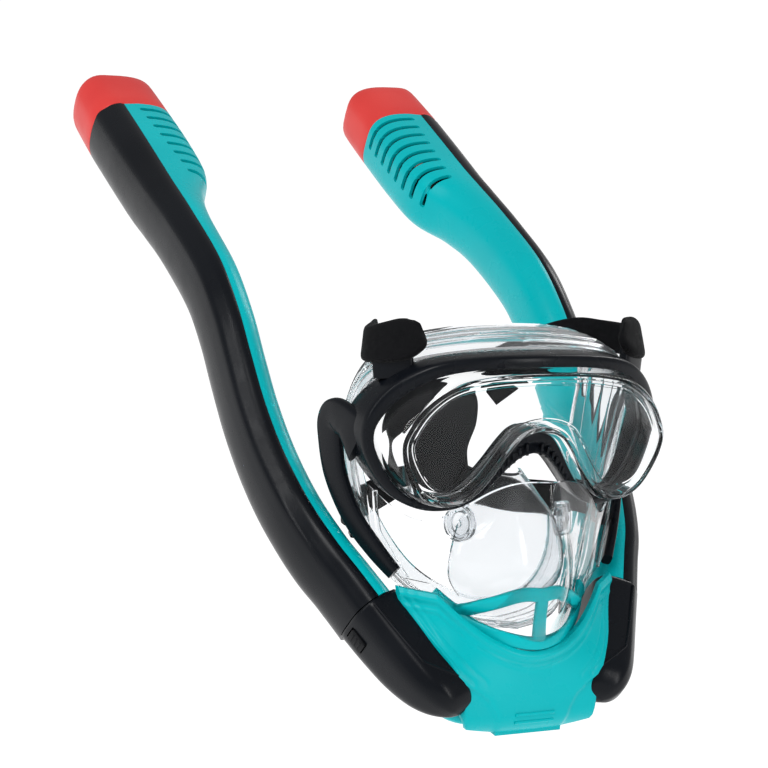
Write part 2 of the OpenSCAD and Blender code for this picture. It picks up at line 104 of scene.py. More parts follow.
def unit(v):
    v = np.asarray(v, float)
    return v / np.linalg.norm(v, axis=-1, keepdims=True)


def power(c, e):
    return np.sign(c) * np.abs(c) ** e


def bell(x, w):
    return np.exp(-(np.asarray(x, float) / w) ** 2)


def circle(count):
    """Angles spaced evenly round one turn."""
    return np.arange(count) * 2 * math.pi / count


def flip(points, side):
    return np.asarray(points, float) * np.array((side, 1, 1))


# ---------------------------------------------------------------- meshes
def new_mesh(name, points, faces, material, body, node=None, slot=None, sharp=32):
    """A smooth-shaded piece from points in millimetres off the bridge."""
    mesh = bpy.data.meshes.new(name)
    mesh.from_pydata((np.asarray(points) * MM + BRIDGE).tolist(), [], [tuple(f) for f in faces])
    mesh.validate()
    obj = bpy.data.objects.new(name, mesh)
    bpy.context.scene.collection.objects.link(obj)
    tidy_mesh(obj, sharp)
    mesh.materials.append(material)
    if body:
        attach(obj, body)
    if node:
        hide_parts(*([node] if isinstance(node, str) else node))
    return obj


def tidy_mesh(obj, sharp):
    bm = bmesh.new()
    bm.from_mesh(obj.data)
    bmesh.ops.remove_doubles(bm, verts=bm.verts, dist=0.00001)
    bmesh.ops.recalc_face_normals(bm, faces=bm.faces)
    bm.to_mesh(obj.data)
    bm.free()
    obj.data.shade_smooth()
    obj.data.set_sharp_from_angle(angle=math.radians(sharp))


def loft_faces(rows, cols, closed=True, caps=True, ring=False, start=0):
    faces = []
    span = cols if closed else cols - 1
    for i in range(rows if ring else rows - 1):
        for k in range(span):
            a, b = i * cols + k, i * cols + (k + 1) % cols
            c, d = ((i + 1) % rows) * cols + k, ((i + 1) % rows) * cols + (k + 1) % cols
            faces.append((start + a, start + b, start + d, start + c))
    if caps and not ring:
        faces.append([start + k for k in range(cols)][::-1])
        faces.append([start + (rows - 1) * cols + k for k in range(cols)])
    return faces


def loft(name, loops, material, body, ring=False, caps=True, **more):
    loops = np.array(loops)
    rows, cols = loops.shape[:2]
    return new_mesh(name, loops.reshape(-1, 3), loft_faces(rows, cols, caps=caps, ring=ring), material, body, **more)


def skin(name, front, back, material, body, **more):
    """A closed sheet from two grids of points."""
    front, back = np.array(front), np.array(back)
    rows, cols = front.shape[:2]
    count = rows * cols
    faces = loft_faces(rows, cols, closed=False, caps=False)
    faces += [f[::-1] for f in loft_faces(rows, cols, closed=False, caps=False, start=count)]
    edge = [(0, k) for k in range(cols)] + [(i, cols - 1) for i in range(1, rows)]
    edge += [(rows - 1, k) for k in range(cols - 2, -1, -1)] + [(i, 0) for i in range(rows - 2, 0, -1)]
    ids = [i * cols + k for i, k in edge]
    for a, b in zip(ids, ids[1:] + ids[:1]):
        faces.append((a, b, b + count, a + count))
    points = np.vstack([front.reshape(-1, 3), back.reshape(-1, 3)])
    return new_mesh(name, points, faces, material, body, **more)


def swept(path, wide, high, half_wide, half_high, powers, count, side=1):
    """Loops of a rounded section along a path; lower powers give squarer corners."""
    turn = circle(count)
    across, up = power(np.cos(turn), powers[0]), power(np.sin(turn), powers[1])
    return [flip(p + np.outer(a * across, w) + np.outer(b * up, h), side)
            for p, w, h, a, b in zip(path, wide, high, half_wide, half_high)]


def bead(path, radius, name, material, body, sides=10, closed=False, **more):
    """A round rib along a path."""
    path = np.array(path)
    nxt = np.roll(path, -1, 0) - np.roll(path, 1, 0) if closed else np.gradient(path, axis=0)
    run = unit(nxt)
    side = unit(np.cross(run, np.array((0.0, 1.0, 0.02))))
    up = np.cross(side, run)
    radii = np.full(len(path), radius)
    loops = swept(path, side, up, radii, radii, (1, 1), sides)
    return loft(name, loops, material, body, ring=closed, **more)


def block(name, size, matrix_rows, at, material, body, bevel=0.6, **more):
    """A box with rounded edges; its axes are the given rows, its centre is at a point."""
    bm = bmesh.new()
    bmesh.ops.create_cube(bm, size=1)
    for v in bm.verts:
        v.co = [c * s for c, s in zip(v.co, size)]
    bmesh.ops.bevel(bm, geom=bm.edges[:], offset=bevel, segments=3, profile=0.5, affect="EDGES")
    points = np.array([v.co[:] for v in bm.verts])
    faces = [[v.index for v in f.verts] for f in bm.faces]
    bm.free()
    axes = np.array(matrix_rows, float)
    return new_mesh(name, points @ axes + np.array(at, float), faces, material, body, **more)


def cut(obj, cutters):
    """Cuts the given meshes out of a piece and removes them."""
    for c in cutters:
        mod = obj.modifiers.new("cut", "BOOLEAN")
        mod.object = c
        mod.solver = "EXACT"
        mod.operation = "DIFFERENCE"
    graph = bpy.context.evaluated_depsgraph_get()
    mesh = bpy.data.meshes.new_from_object(obj.evaluated_get(graph))
    obj.modifiers.clear()
    obj.data = mesh
    for c in cutters:
        bpy.data.objects.remove(c)
    obj.data.set_sharp_from_angle(angle=math.radians(32))


# ---------------------------------------------------------------- materials
class Maker:
    """Builds one node material."""

    def __init__(self, name):
        self.mat = bpy.data.materials.new(name)
        self.mat.use_nodes = True
        self.tree = self.mat.node_tree
        self.shader = self.tree.nodes["Principled BSDF"]
        self.coords = self.tree.nodes.new("ShaderNodeTexCoord")

    def set(self, **values):
        for key, value in values.items():
            self.shader.inputs[key.replace("_", " ")].default_value = value
        return self

    def noise(self, scale, detail=3.0, rough=0.5):
        node = self.tree.nodes.new("ShaderNodeTexNoise")
        node.inputs["Scale"].default_value = scale
        node.inputs["Detail"].default_value = detail
        node.inputs["Roughness"].default_value = rough
        self.tree.links.new(self.coords.outputs["Object"], node.inputs["Vector"])
        return node.outputs["Fac"]

    def ramp(self, source, low, high, start=0.3, stop=0.7):
        node = self.tree.nodes.new("ShaderNodeValToRGB")
        node.color_ramp.elements[0].position = start
        node.color_ramp.elements[1].position = stop
        node.color_ramp.elements[0].color = (*low, 1) if isinstance(low, tuple) else (low, low, low, 1)
        node.color_ramp.elements[1].color = (*high, 1) if isinstance(high, tuple) else (high, high, high, 1)
        self.tree.links.new(source, node.inputs["Fac"])
        return node.outputs["Color"]

    def link(self, source, socket):
        self.tree.links.new(source, self.shader.inputs[socket])
        return self

    def bump(self, source, distance, strength=1.0):
        node = self.tree.nodes.new("ShaderNodeBump")
        node.inputs["Distance"].default_value = distance
        node.inputs["Strength"].default_value = strength
        self.tree.links.new(source, node.inputs["Height"])
        self.tree.links.new(node.outputs["Normal"], self.shader.inputs["Normal"])
        return self


def moulded(name, low, high, rough_low, rough_high, grain, depth, level=0.12, metallic=0.0):
    """Moulded plastic: faint colour drift, uneven polish, a fine grain and a soft orange peel."""
    m = Maker(name)
    m.link(m.ramp(m.noise(14, 2), low, high), "Base Color")
    m.link(m.ramp(m.noise(60, 4), rough_low, rough_high), "Roughness")
    m.bump(m.noise(grain, 2), depth, 0.6)
    m.set(Specular_IOR_Level=level, Metallic=metallic)
    return m.mat


def clear(name, tint, ior, rough_low, rough_high, grain, depth, through=1.0):
    """Clear moulded plastic; through is the share of light that it lets pass."""
    m = Maker(name)
    m.set(Base_Color=(*tint, 1), Transmission_Weight=through, IOR=ior)
    m.link(m.ramp(m.noise(35, 3), rough_low, rough_high), "Roughness")
    m.bump(m.noise(grain, 2), depth, 0.4)
    return m.mat


def webbing(name):
    m = Maker(name)
    wave = m.tree.nodes.new("ShaderNodeTexWave")
    wave.inputs["Scale"].default_value = 900
    wave.inputs["Distortion"].default_value = 1.2
    wave.bands_direction = "DIAGONAL"
    m.tree.links.new(m.coords.outputs["Object"], wave.inputs["Vector"])
    m.link(m.ramp(wave.outputs["Fac"], (0.0012, 0.0014, 0.002), (0.005, 0.0053, 0.0068)), "Base Color")
    m.link(m.ramp(m.noise(300, 4), 0.62, 0.85), "Roughness")
    m.bump(wave.outputs["Fac"], 0.0003, 0.8)
    m.set(Sheen_Weight=0.03, Sheen_Roughness=0.5, Specular_IOR_Level=0.1)
    return m.mat


TEAL = moulded("teal_gloss", (0.0, 0.405, 0.44), (0.0, 0.455, 0.49), 0.24, 0.34, 900, 0.00003, 0.12)
BLACK = moulded("black_satin", (0.0032, 0.0043, 0.0065), (0.0055, 0.0068, 0.0095), 0.22, 0.32, 1600, 0.00004, 0.13)
BLACK_MATT = moulded("black_matt", (0.0025, 0.003, 0.004), (0.005, 0.0055, 0.007), 0.42, 0.55, 1500, 0.00006, 0.13)
RED = moulded("red_gloss", (0.6, 0.036, 0.034), (0.7, 0.055, 0.048), 0.28, 0.38, 800, 0.00003, 0.15)
RUBBER = moulded("black_rubber", (0.008, 0.008, 0.009), (0.014, 0.014, 0.016), 0.6, 0.8, 1400, 0.00008, 0.2)
FOAM = moulded("float_foam", (0.7, 0.2, 0.08), (0.8, 0.28, 0.12), 0.6, 0.8, 1800, 0.0001, 0.2)
STEEL = moulded("screw_steel", (0.45, 0.45, 0.46), (0.6, 0.6, 0.61), 0.25, 0.4, 2000, 0.00003, 0.5, 1.0)
LENS = clear("clear_lens", (0.98, 0.99, 0.993), 1.2, 0.0, 0.01, 90, 0.00001)
SHELL = clear("clear_shell", (0.975, 0.983, 0.99), 1.22, 0.0, 0.02, 60, 0.00003, 1.0)
SILICONE = clear("clear_silicone", (0.9, 0.92, 0.94), 1.33, 0.03, 0.1, 120, 0.00006, 0.95)
WEB = webbing("black_webbing")


# ---------------------------------------------------------------- camera, floor and light
def place_camera():
    """The view that the product photograph was taken from: from the wearer's right, above the lens."""
    spot = np.array((-597.0, -981.4, 300.0)) * MM + BRIDGE
    right = np.array((0.89760, -0.42995, 0.09719))
    up = np.array((0.01938, 0.25877, 0.96574))
    away = np.array((0.44038, 0.86497, -0.24061))
    cam = bpy.data.cameras.new("camera")
    cam.sensor_width = 36
    cam.lens = 105.5
    cam.clip_end = 200
    obj = bpy.data.objects.new("camera", cam)
    obj.matrix_world = Matrix([[right[i], up[i], -away[i], spot[i]] for i in range(3)] + [[0, 0, 0, 1]])
    bpy.context.scene.collection.objects.link(obj)
    bpy.context.scene.camera = obj


def place_floor():
    size, drop = 90.0, 1.1
    mesh = bpy.data.meshes.new("floor")
    corners = [(-size, -size, 0), (size, -size, 0), (size, size, 0), (-size, size, 0)]
    mesh.from_pydata(corners, [], [(0, 1, 2, 3)])
    floor = bpy.data.objects.new("floor", mesh)
    floor.location.z = CAD_BOX[0][2] - drop
    bpy.context.scene.collection.objects.link(floor)
    m = Maker("floor_paper")
    m.link(m.ramp(m.noise(0.4, 2), 0.8, 0.82), "Base Color")
    m.set(Roughness=1.0, Specular_IOR_Level=0.0, Emission_Color=(1, 1, 1, 1), Emission_Strength=0.72)
    mesh.materials.append(m.mat)


def area_light(name, at, look, size, power_w, tint=(1, 1, 1)):
    lamp = bpy.data.lights.new(name, "AREA")
    lamp.shape = "RECTANGLE"
    lamp.size, lamp.size_y = size
    lamp.energy = power_w
    lamp.color = tint
    obj = bpy.data.objects.new(name, lamp)
    obj.location = at
    obj.rotation_euler = (Vector(look) - Vector(at)).to_track_quat("-Z", "Y").to_euler()
    bpy.context.scene.collection.objects.link(obj)


def place_lights():
    world = bpy.data.worlds.new("studio")
    bpy.context.scene.world = world
    world.use_nodes = True
    sky = world.node_tree.nodes["Background"]
    sky.inputs["Color"].default_value = (1, 1, 1, 1)
    sky.inputs["Strength"].default_value = 0.42
    area_light("key", (-1.3, -0.9, 1.7), (0, 0.1, 0), (0.8, 0.8), 22)
    area_light("rim", (1.5, 0.8, 1.2), (0, 0.1, 0), (0.3, 1.2), 10)
    area_light("front", (0.8, -1.9, 0.6), (0, 0, -0.05), (0.22, 1.3), 12)
    area_light("strip", (-1.7, 0.1, 0.9), (0, 0.15, 0), (0.14, 1.6), 9)
    bpy.context.scene.view_settings.view_transform = "Standard"


place_camera()
place_floor()
place_lights()

# ---------------------------------------------------------------- goggle lens and frame
HALF_LENS = [(0, 31.5), (28, 30.5), (54, 25.5), (71, 15), (81.5, 1), (84.5, -10), (80.5, -23),
             (70.5, -37), (58, -43.5), (44, -43), (33, -36), (24, -25), (16, -13), (9, -5.5), (0, -3)]
LENS_LINE = smoothed(mirrored(spline(HALF_LENS, 8)), 3)
LENS_OUT = outward(LENS_LINE)
LENS_CURVE = 0.0010
FLANGE_CURVE = 0.0030
LENS_DEPTH = 15.0
PANE = 2.4
FAN_CENTRE = np.array((0.0, 14.0))


def on_goggle(flat, depth, curve=FLANGE_CURVE):
    """Points in x and z put at a depth behind the bridge, on a surface that bends back towards its ends."""
    flat = np.asarray(flat)
    return np.stack([flat[:, 0], depth + curve * flat[:, 0] ** 2, flat[:, 1]], 1)


def on_lens(flat, depth):
    """The lens bends less than its flange, so its wall grows deeper towards the ends."""
    share = np.clip((depth - 4.0) / (LENS_DEPTH - 4.0), 0, 1)
    return on_goggle(flat, depth, LENS_CURVE + (FLANGE_CURVE - LENS_CURVE) * share)


def inset(line_by):
    return LENS_LINE - LENS_OUT * np.reshape(line_by, (-1, 1))


def end_weight():
    """1 at the two ends of the lens, 0 over its middle."""
    return np.clip((np.abs(LENS_LINE[:, 0]) - 48) / 36, 0, 1) ** 1.5


def lower_weight():
    """1 along the lower edge and the nose arch, 0 along the top."""
    return np.clip((2 - LENS_LINE[:, 1]) / 10, 0, 1) * (1 - end_weight())


def make_lens():
    """A cup: a deep clear wall, a rounded corner, a bevel with a raised line, and the window pane."""
    draft = 1.2 + 3.0 * end_weight() + 0.8 * lower_weight()
    bevel = 2.6 + 1.2 * end_weight() + 2.8 * lower_weight()
    corner = draft + 2.2
    # How far in from the outline, then how deep
    outer = [(0 * draft, 15.0), (0 * draft, 9.0), (0.08 * draft, 8.2), (0.35 * draft, 5.5), (0.8 * draft, 3.0),
             (draft, 2.0), (draft + 0.4, 0.95), (draft + 1.1, 0.3), (corner, 0.0), (corner + 0.7, 0.05),
             (corner + 1.0, 0.5), (corner + 0.5 * bevel, 0.95), (corner + bevel, 1.25), (corner + bevel + 0.35, 0.75),
             (corner + bevel + 1.2, 0.75), (corner + bevel + 1.6, 1.3)]
    loops = [on_lens(inset(a), d) for a, d in outer]
    window = smoothed(inset(corner + bevel + 2.4), 4)
    fan = [1.0, 0.93, 0.82, 0.66, 0.46, 0.24, 0.0]
    loops += [on_lens(FAN_CENTRE + (window - FAN_CENTRE) * f, 1.3) for f in fan]
    loops += [on_lens(FAN_CENTRE + (window - FAN_CENTRE) * f, 1.3 + PANE) for f in fan[::-1]]
    inner = [(corner + bevel, 3.5), (corner + 0.6, 2.9), (corner, 3.1), (draft + PANE - 0.4, 4.2),
             (0.5 * draft + PANE, 7.0), (PANE + 0 * draft, 9.5), (PANE + 0 * draft, 15.0)]
    loops += [on_lens(inset(a), d) for a, d in inner]
    loops = np.array(loops)
    rows, cols = loops.shape[:2]
    new_mesh("eye_lens_clear", loops.reshape(-1, 3), loft_faces(rows, cols, ring=True), LENS, "mask",
             node="eye_lens", slot="clear_lens", sharp=30)


HALF_FRAME = [(0, 38.5), (30, 37.2), (58, 32), (77, 19.5), (87.5, 4), (90, -11), (85.5, -26), (74.5, -41),
              (59, -48), (43, -47.5), (31, -42), (22, -32.5), (14, -23.5), (7, -17.5), (0, -15.5)]
FRAME_LINE = smoothed(mirrored(spline(HALF_FRAME, 8)), 3)


def make_frame():
    """One band round the lens: a front strip, a deep outer wall and a flange behind the lens."""
    top = np.clip((LENS_LINE[:, 1] - 8) / 14, 0, 1)
    arch = bell(LENS_LINE[:, 0], 22) * (LENS_LINE[:, 1] < 0)
    loops = []
    for near, far, high, web in zip(LENS_LINE, FRAME_LINE, top, arch):
        width = np.linalg.norm(far - near)
        way = (far - near) / width
        front = 8.0 - 0.6 * high
        back = 24.0 + 9.0 * min(max((abs(near[0]) - 60) / 22, 0), 1)
        section = [(0.3, 17.2), (0.3, front + 1.2), (0.5, front + 0.3), (1.0, front), (width * 0.42, front + 0.5 * web),
                   (width * 0.62, front + 2.2 * web), (width - 1.6, front + 0.3 - 1.2 * web),
                   (width - 0.7, front + 0.8 - 1.2 * web), (width - 0.15, front + 1.9 - web), (width, front + 4),
                   (width, (front + back) / 2 + 1), (width - 0.2, back - 2.5), (width - 0.9, back - 0.8),
                   (width - 2.2, back), (0.4, back), (-1.4, back - 0.9), (-1.8, back - 2.4), (-1.8, 18.2), (-1.2, 17.2)]
        offset, depth = np.array(section).T
        loops.append(on_goggle(near + way * offset[:, None], depth))
    loft("goggle_frame", loops, BLACK, "mask", ring=True, node="lens_frame", slot="black_plastic", sharp=38)


def make_arch_ribs():
    """The two rows of small teeth along the lower edge of the nose arch."""
    half = len(LENS_LINE) // 2
    for side, run in (("left", range(half, 0, -1)), ("right", range(half, len(LENS_LINE)))):
        travelled, last, placed = 0.0, FRAME_LINE[half], 0
        for i in run:
            travelled += np.linalg.norm(FRAME_LINE[i] - last)
            last = FRAME_LINE[i]
            if travelled < 4.0 + placed * 3.9 or placed == 8:
                continue
            near, far = LENS_LINE[i], FRAME_LINE[i]
            way = (far - near) / np.linalg.norm(far - near)
            at = on_goggle((far - way * 3.2)[None], 9.4)[0]
            block(f"arch_rib_{side}_{placed + 1}", (1.7, 3.4, 6.5 - 0.4 * placed),
                  [(way[1], 0, -way[0]), (0, 1, 0), (way[0], 0, way[1])], at, BLACK, "mask", bevel=0.4,
                  slot="black_plastic")
            placed += 1


make_lens()
make_frame()
make_arch_ribs()


# ---------------------------------------------------------------- clear face shell
def lip_z(x):
    return np.minimum(-91, -117 + 17 * (np.abs(x) / 40) ** 1.88)


def shell_edge(z):
    return 76.8 - 0.0021 * (z + 30) ** 2 - np.maximum(0, -70 - z) * 0.25


def shell_y(x, z):
    """The moulded face surface: a bowl with a nose and a shallow dish in each cheek."""
    bowl = -10 + 0.0098 * x * x
    nose = -26 * bell(x, 9 - (z + 24) * 0.14) * bell(z + 76, 36)
    cheek = 2.2 * bell(np.abs(x) - 47, 15) * bell(z + 62, 20)
    crease = -1.1 * bell(np.abs(x) - 30 - (z + 60) * 0.25, 3.0) * bell(z + 66, 26)
    return bowl + nose + cheek + crease


def shell_grid(rows, cols, back):
    u = np.linspace(-1, 1, cols)
    v = np.linspace(0, 1, rows)[:, None]
    top = -24.8 - 30 * bell(np.abs(u) - 0.75, 0.33)
    x = u * shell_edge(top + (-96 - top) * v)
    z = top + (lip_z(x) + 3 - top) * v
    return np.stack([x, shell_y(x, z) + back, z], 2)


def make_shell():
    skin("face_shell_clear", shell_grid(48, 90, 0), shell_grid(48, 90, 2.0), SHELL, "mask",
         node="face_shell", slot="clear_lens", sharp=60)
    rim = shell_grid(60, 120, 1.0)
    bead(rim[:, 2], 1.5, "shell_rim_right", SHELL, "mask", slot="clear_lens")
    bead(rim[:, -3], 1.5, "shell_rim_left", SHELL, "mask", slot="clear_lens")


make_shell()

# ---------------------------------------------------------------- silicone skirt
SEAL = [(0, 56, 43), (30, 56, 41.5), (56, 64, 34), (70, 78, 16), (75, 86, -12), (74, 86, -42), (65, 76, -72),
        (48, 58, -98), (24, 44, -112), (0, 40, -116)]
SEAL_FRONT = [(0, 26, 36), (32, 29.5, 34), (62, 38.5, 27), (81, 49, 12), (83, 58, -12), (78, 58, -42), (69, 48, -72),
              (56, 30, -92), (30, 12, -106), (0, 4, -110)]


def make_skirt():
    rear, fore = mirrored(spline(SEAL, 12)), mirrored(spline(SEAL_FRONT, 12))
    loops = []
    for r, f in zip(rear, fore):
        out = unit(r - np.array((0, r[1], -30)))
        across = r - f
        # Along the skirt from front to seal, with three raised lines round the brow end
        outer = []
        for t in np.linspace(0, 1, 25):
            rise = 2.4 * (1 - t) + 0.6 + 1.6 * math.sin(math.pi * t)
            ring = sum(0.9 * math.exp(-((t - c) / 0.035) ** 2) for c in (0.28, 0.5, 0.72))
            outer.append(f + across * t + out * (rise + ring))
        inner = [f + across * t + out * (0.2 + 1.6 * math.sin(math.pi * t) - 1.2) for t in np.linspace(1, 0, 14)]
        # How far outwards, then how far back, each point of the seal's lip is
        lip = [r + out * o + np.array((0, back, 0))
               for o, back in ((1.2, 1.2), (-3, 1.4), (-8, -1.5), (-10, -4), (-9.2, -4.8), (-5, -1.6))]
        loops.append(outer + lip + inner[1:])
    loft("face_skirt_clear", loops, SILICONE, "mask", ring=True, node="face_skirt", slot="clear_silicone", sharp=60)


make_skirt()


# ---------------------------------------------------------------- nose pocket and check valves
# Each row of the pocket: height, half width, half depth, then how far back
POCKET = [(-32, 9, 14, 22), (-44, 19, 25, 20), (-58, 31, 30, 14), (-74, 37, 33, 10), (-88, 36, 32, 10),
          (-100, 27, 24, 12)]
CHECK_AT = np.array((29.5, 24, -58.0))
CHECK_DIR = unit((0.92, -0.38, 0.1))


def make_pocket():
    rows = spline(POCKET, 6)
    turn = np.linspace(math.radians(188), math.radians(352), 48)

    def shape(inward):
        return np.array([np.stack([(w - inward) * np.cos(turn), y + 16 + (d - inward) * 0.8 * np.sin(turn),
                                   np.full_like(turn, z)], 1) for z, w, d, y in rows])
    skin("nose_pocket_clear", shape(0), shape(1.6), SILICONE, "mask", node="nose_pocket",
         slot="clear_silicone", sharp=60)


def ring_profile(centre, direction, profile, count=48):
    """Loops of a turned shape: pairs of radius and height along a direction."""
    a = unit(np.cross(direction, (0.1, 0.2, 1.0)))
    b = np.cross(direction, a)
    turn = circle(count)
    ring = np.outer(np.cos(turn), a) + np.outer(np.sin(turn), b)
    return [centre + r * ring + h * direction for r, h in profile]


def make_valves():
    for side, s in SIDES:
        at, way = flip(CHECK_AT, s), flip(CHECK_DIR, s)
        seat = [(6, 0.3), (6, 2.7), (6.3, 3), (8.4, 3), (8.4, 4.7), (8.7, 5), (9.2, 5), (9.5, 4.7), (9.5, 0.3),
                (9.2, 0), (6.3, 0)]
        loft(f"valve_seat_{side}", np.array(ring_profile(at, way, seat)), SILICONE, "mask", ring=True,
             node="valve_seats", slot="clear_silicone")
        disc = [(0.01, 3.1), (7.6, 3.1), (8, 3.3), (8, 3.8), (7.6, 4.0), (2.2, 4.05), (2, 4.9), (1.6, 5.1),
                (0.01, 5.1)]
        loft(f"check_disc_{side}", np.array(ring_profile(at, way, disc)), SILICONE, f"check_{side}",
             node=f"check_valve_{side}", slot="clear_silicone")


make_pocket()
make_valves()


# ---------------------------------------------------------------- chin, grille and purge cover
# Where the chin's front meets the elbows: height, then half width
CHIN_SIDE = np.array([(-156, 38), (-146.5, 39.2), (-135, 41.3), (-128, 43.6), (-122.5, 46.6), (-112.7, 53.9),
                      (-104.4, 59.7), (-96.8, 64.9), (-90, 69)])
# The chin's lower edge: half width, then height
CHIN_LOW = np.array([(0, -162), (20, -161), (38, -157), (41, -150), (44, -142), (47, -133), (54, -121.5),
                     (60, -112.5), (66, -103)])
# Border of the keel and the two creases beside the elbows: height, then half width
KEEL = np.array([(-157, 20.7), (-149.6, 22.6), (-142.5, 27), (-136, 36), (-132, 47), (-129, 75)])
CREASES = (np.array([(-132, 35.7), (-126.5, 42.6), (-115, 51.3), (-103.9, 57.7), (-94.8, 64.3)]),
           np.array([(-131.9, 28.8), (-126.6, 35.4), (-114.6, 46.4), (-94.8, 60.3)]))


def chin_y(x, z):
    """The chin's front, which turns back into the elbows beyond its side line."""
    bend = 0.0009 + 0.0072 / (1 + np.exp(-(z + 116) / 6))
    side = np.interp(z, CHIN_SIDE[:, 0], CHIN_SIDE[:, 1])
    return -17 + 0.18 * (z + 114) + bend * x * x + 1.5 * np.maximum(0, np.abs(x) - side - 1)


def tuck(z):
    """How far the chin's front rolls back towards its floor."""
    return 7.0 * np.clip((-150 - z) / 12, 0, 1.1) ** 2.2


def make_chin():
    x = np.linspace(-66, 66, 133)
    rows = np.concatenate([[0, 0.012, 0.03, 0.055, 0.085, 0.115], np.linspace(0.145, 1, 44)])
    top, low = lip_z(x), np.interp(np.abs(x), CHIN_LOW[:, 0], CHIN_LOW[:, 1]) - 1.5
    z = top + (low - top) * rows[:, None]
    below = top - z
    relief = -2.4 * bell(below - 2.8, 2.6) - 0.9 * bell(below - 8.8, 1.1)
    keel = 1.7 / (1 + np.exp((np.interp(z, KEEL[:, 0], KEEL[:, 1]) - np.abs(x)) * 1.6))
    for line, deep in zip(CREASES, (0.7, 0.5)):
        fade = 1 / (1 + np.exp(-(z + 133) * 1.2))
        relief = relief + deep * fade * bell(np.abs(x) - np.interp(z, line[:, 0], line[:, 1]), 0.9)
    y = chin_y(x, z) + relief + keel + tuck(z)
    front = np.stack([np.broadcast_to(x, z.shape), y, z], 2)
    back = front + np.array((0, 3.5, 0)) - np.array((0, 1, 0)) * relief[..., None] * 0.6
    back[0, :, 1] -= 0.6
    skin("chin_shell_teal", front, back, TEAL, "mask", node="chin_shell", slot="teal_plastic", sharp=48)


def make_floor():
    """The dished floor of the chin, with a hole for the purge valve."""
    half = np.array([(0, -19), (19, -17.5), (33, -14), (43, -7), (46.5, 4), (42.5, 15), (32, 22), (0, 26)], float)
    line = mirrored(spline(half, 8))
    middle = np.array((0.0, 3.0))
    hole = middle + 15.1 * unit(line - middle)
    dish = [(1, -152.5), (0.995, -154.5), (0.96, -157), (0.88, -159), (0.7, -160.4), (0.4, -160.9), (0, -161)]
    loops = []
    for lift in (0, 2.4):
        rows = [np.column_stack([hole + (line - hole) * k, np.full(len(line), z + lift)]) for k, z in dish]
        loops += rows if lift == 0 else rows[::-1]
    loft("chin_floor_teal", loops, TEAL, "mask", ring=True, node="chin_plate", slot="teal_plastic", sharp=50)


def make_chin_ribs():
    for row, z in enumerate((-150.5, -155)):
        x = np.linspace(-11.5, 12, 16)
        path = np.stack([x, chin_y(x, z) + tuck(z) - 0.1, np.full_like(x, z)], 1)
        bead(path, 0.9, f"chin_rib_{row + 1}", TEAL, "mask", slot="teal_plastic")


def grille_depth(x):
    return -19.5 + 0.019 * x * x


def make_grille():
    """The teal arch inside the mouth, as a bar round each window."""
    bars = {
        "arch": [(-45, -95.5), (-38, -101), (-34, -99.5), (-26, -94), (-12, -86), (0, -85.5), (12, -86), (26, -94),
                 (34, -99.5), (38, -101), (45, -95.5)],
        "sill": [(-43, -98), (-36, -104), (-27, -108.5), (-15, -111), (0, -112.5), (15, -111), (27, -108.5),
                 (36, -104), (43, -98)],
        "post": [(0, -84), (0, -90), (0, -100), (0, -111)]}
    for name, pts in bars.items():
        line = spline(pts, 8)
        path = np.stack([line[:, 0], grille_depth(line[:, 0]) + 1.6, line[:, 1]], 1)
        run = unit(np.gradient(path, axis=0))
        out = np.array((0.0, -1.0, 0.0))
        wide = unit(np.cross(run, out))
        deep = np.cross(wide, run)
        half_w, half_d = (3.6, 2.0) if name == "post" else (3.7, 2.2)
        loops = swept(path, wide, deep, np.full(len(path), half_w), np.full(len(path), half_d), (0.55, 0.55), 20)
        loft(f"mouth_grille_{name}", loops, TEAL, "mask", node="mouth_grille", slot="teal_plastic", sharp=50)


make_chin()
make_floor()
make_chin_ribs()
make_grille()

# ---------------------------------------------------------------- side arms
# The arm starts inside the frame's back corner, where the real one hooks on
ARM = [(86.5, 41, -15), (88.2, 48.5, -11), (89.4, 56.5, -8), (90.5, 64, -8), (91, 70, -12), (90.5, 71, -20),
       (88, 65.5, -40), (82.6, 51.5, -60), (74.5, 38.5, -74), (66.2, 26.8, -85)]
ARM_W = [30, 24, 20, 20, 20.5, 19, 17, 14, 12, 9]


def make_arm(side, s):
    path = spline(ARM, 10)
    width = spline(np.column_stack([ARM_W]), 10)[:, 0] / 2
    run = unit(np.gradient(path, axis=0))
    away = np.array((1, -0.25, 0))
    out = unit(away - run * (run @ away)[:, None])
    across = np.cross(run, out)
    loops = swept(path, out, across, np.full(len(path), 2.7), width, (0.55, 0.6), 24, s)
    loft(f"side_arm_{side}_black", loops, BLACK, "mask", node=f"side_arm_{side}", slot="black_plastic", sharp=45)


for side, s in SIDES:
    make_arm(side, s)

# ---------------------------------------------------------------- breathing tubes
TUBE = [(76.2, 22.5, -95.2, 15, 13.5, 45), (83.3, 35.6, -84.3, 14.5, 13.2, 45), (91.5, 51, -72, 14.3, 13.2, 45),
        (99, 74.2, -55.7, 14, 13.4, 44.5), (103.4, 102, -36.6, 14, 13.5, 45.5), (105.7, 126.8, -16, 14, 13.5, 46.5),
        (106.6, 149.6, 5.8, 14.2, 13.2, 47.5), (106.8, 173.9, 27.8, 14.6, 13.2, 47), (106.8, 206.7, 48.7, 15, 13.8, 45),
        (106.8, 256.7, 67.2, 17, 14.8, 43.5), (106.7, 290, 77.8, 23.5, 16, 44.5), (106.4, 315.3, 86, 33.5, 17, 46.5),
        (106.6, 350, 98, 36, 18, 47), (107, 386.6, 110.4, 36, 18.5, 47)]
SQUARE = 2.4
WALL = 2.0
TUBE_ROW = spline(TUBE, 8)
TUBE_RUN = unit(np.gradient(TUBE_ROW[:, :3], axis=0))
PULL = unit((0.384, 0.708, 0.589))
CAP_DIR = unit((0.005, 0.947, 0.321))
TUBE_RUN[0], TUBE_RUN[-1] = PULL, CAP_DIR


def out_of(up):
    return unit(np.array((1.0, 0, 0)) - up * up[0])


def back_of(up):
    return np.cross(up, out_of(up))


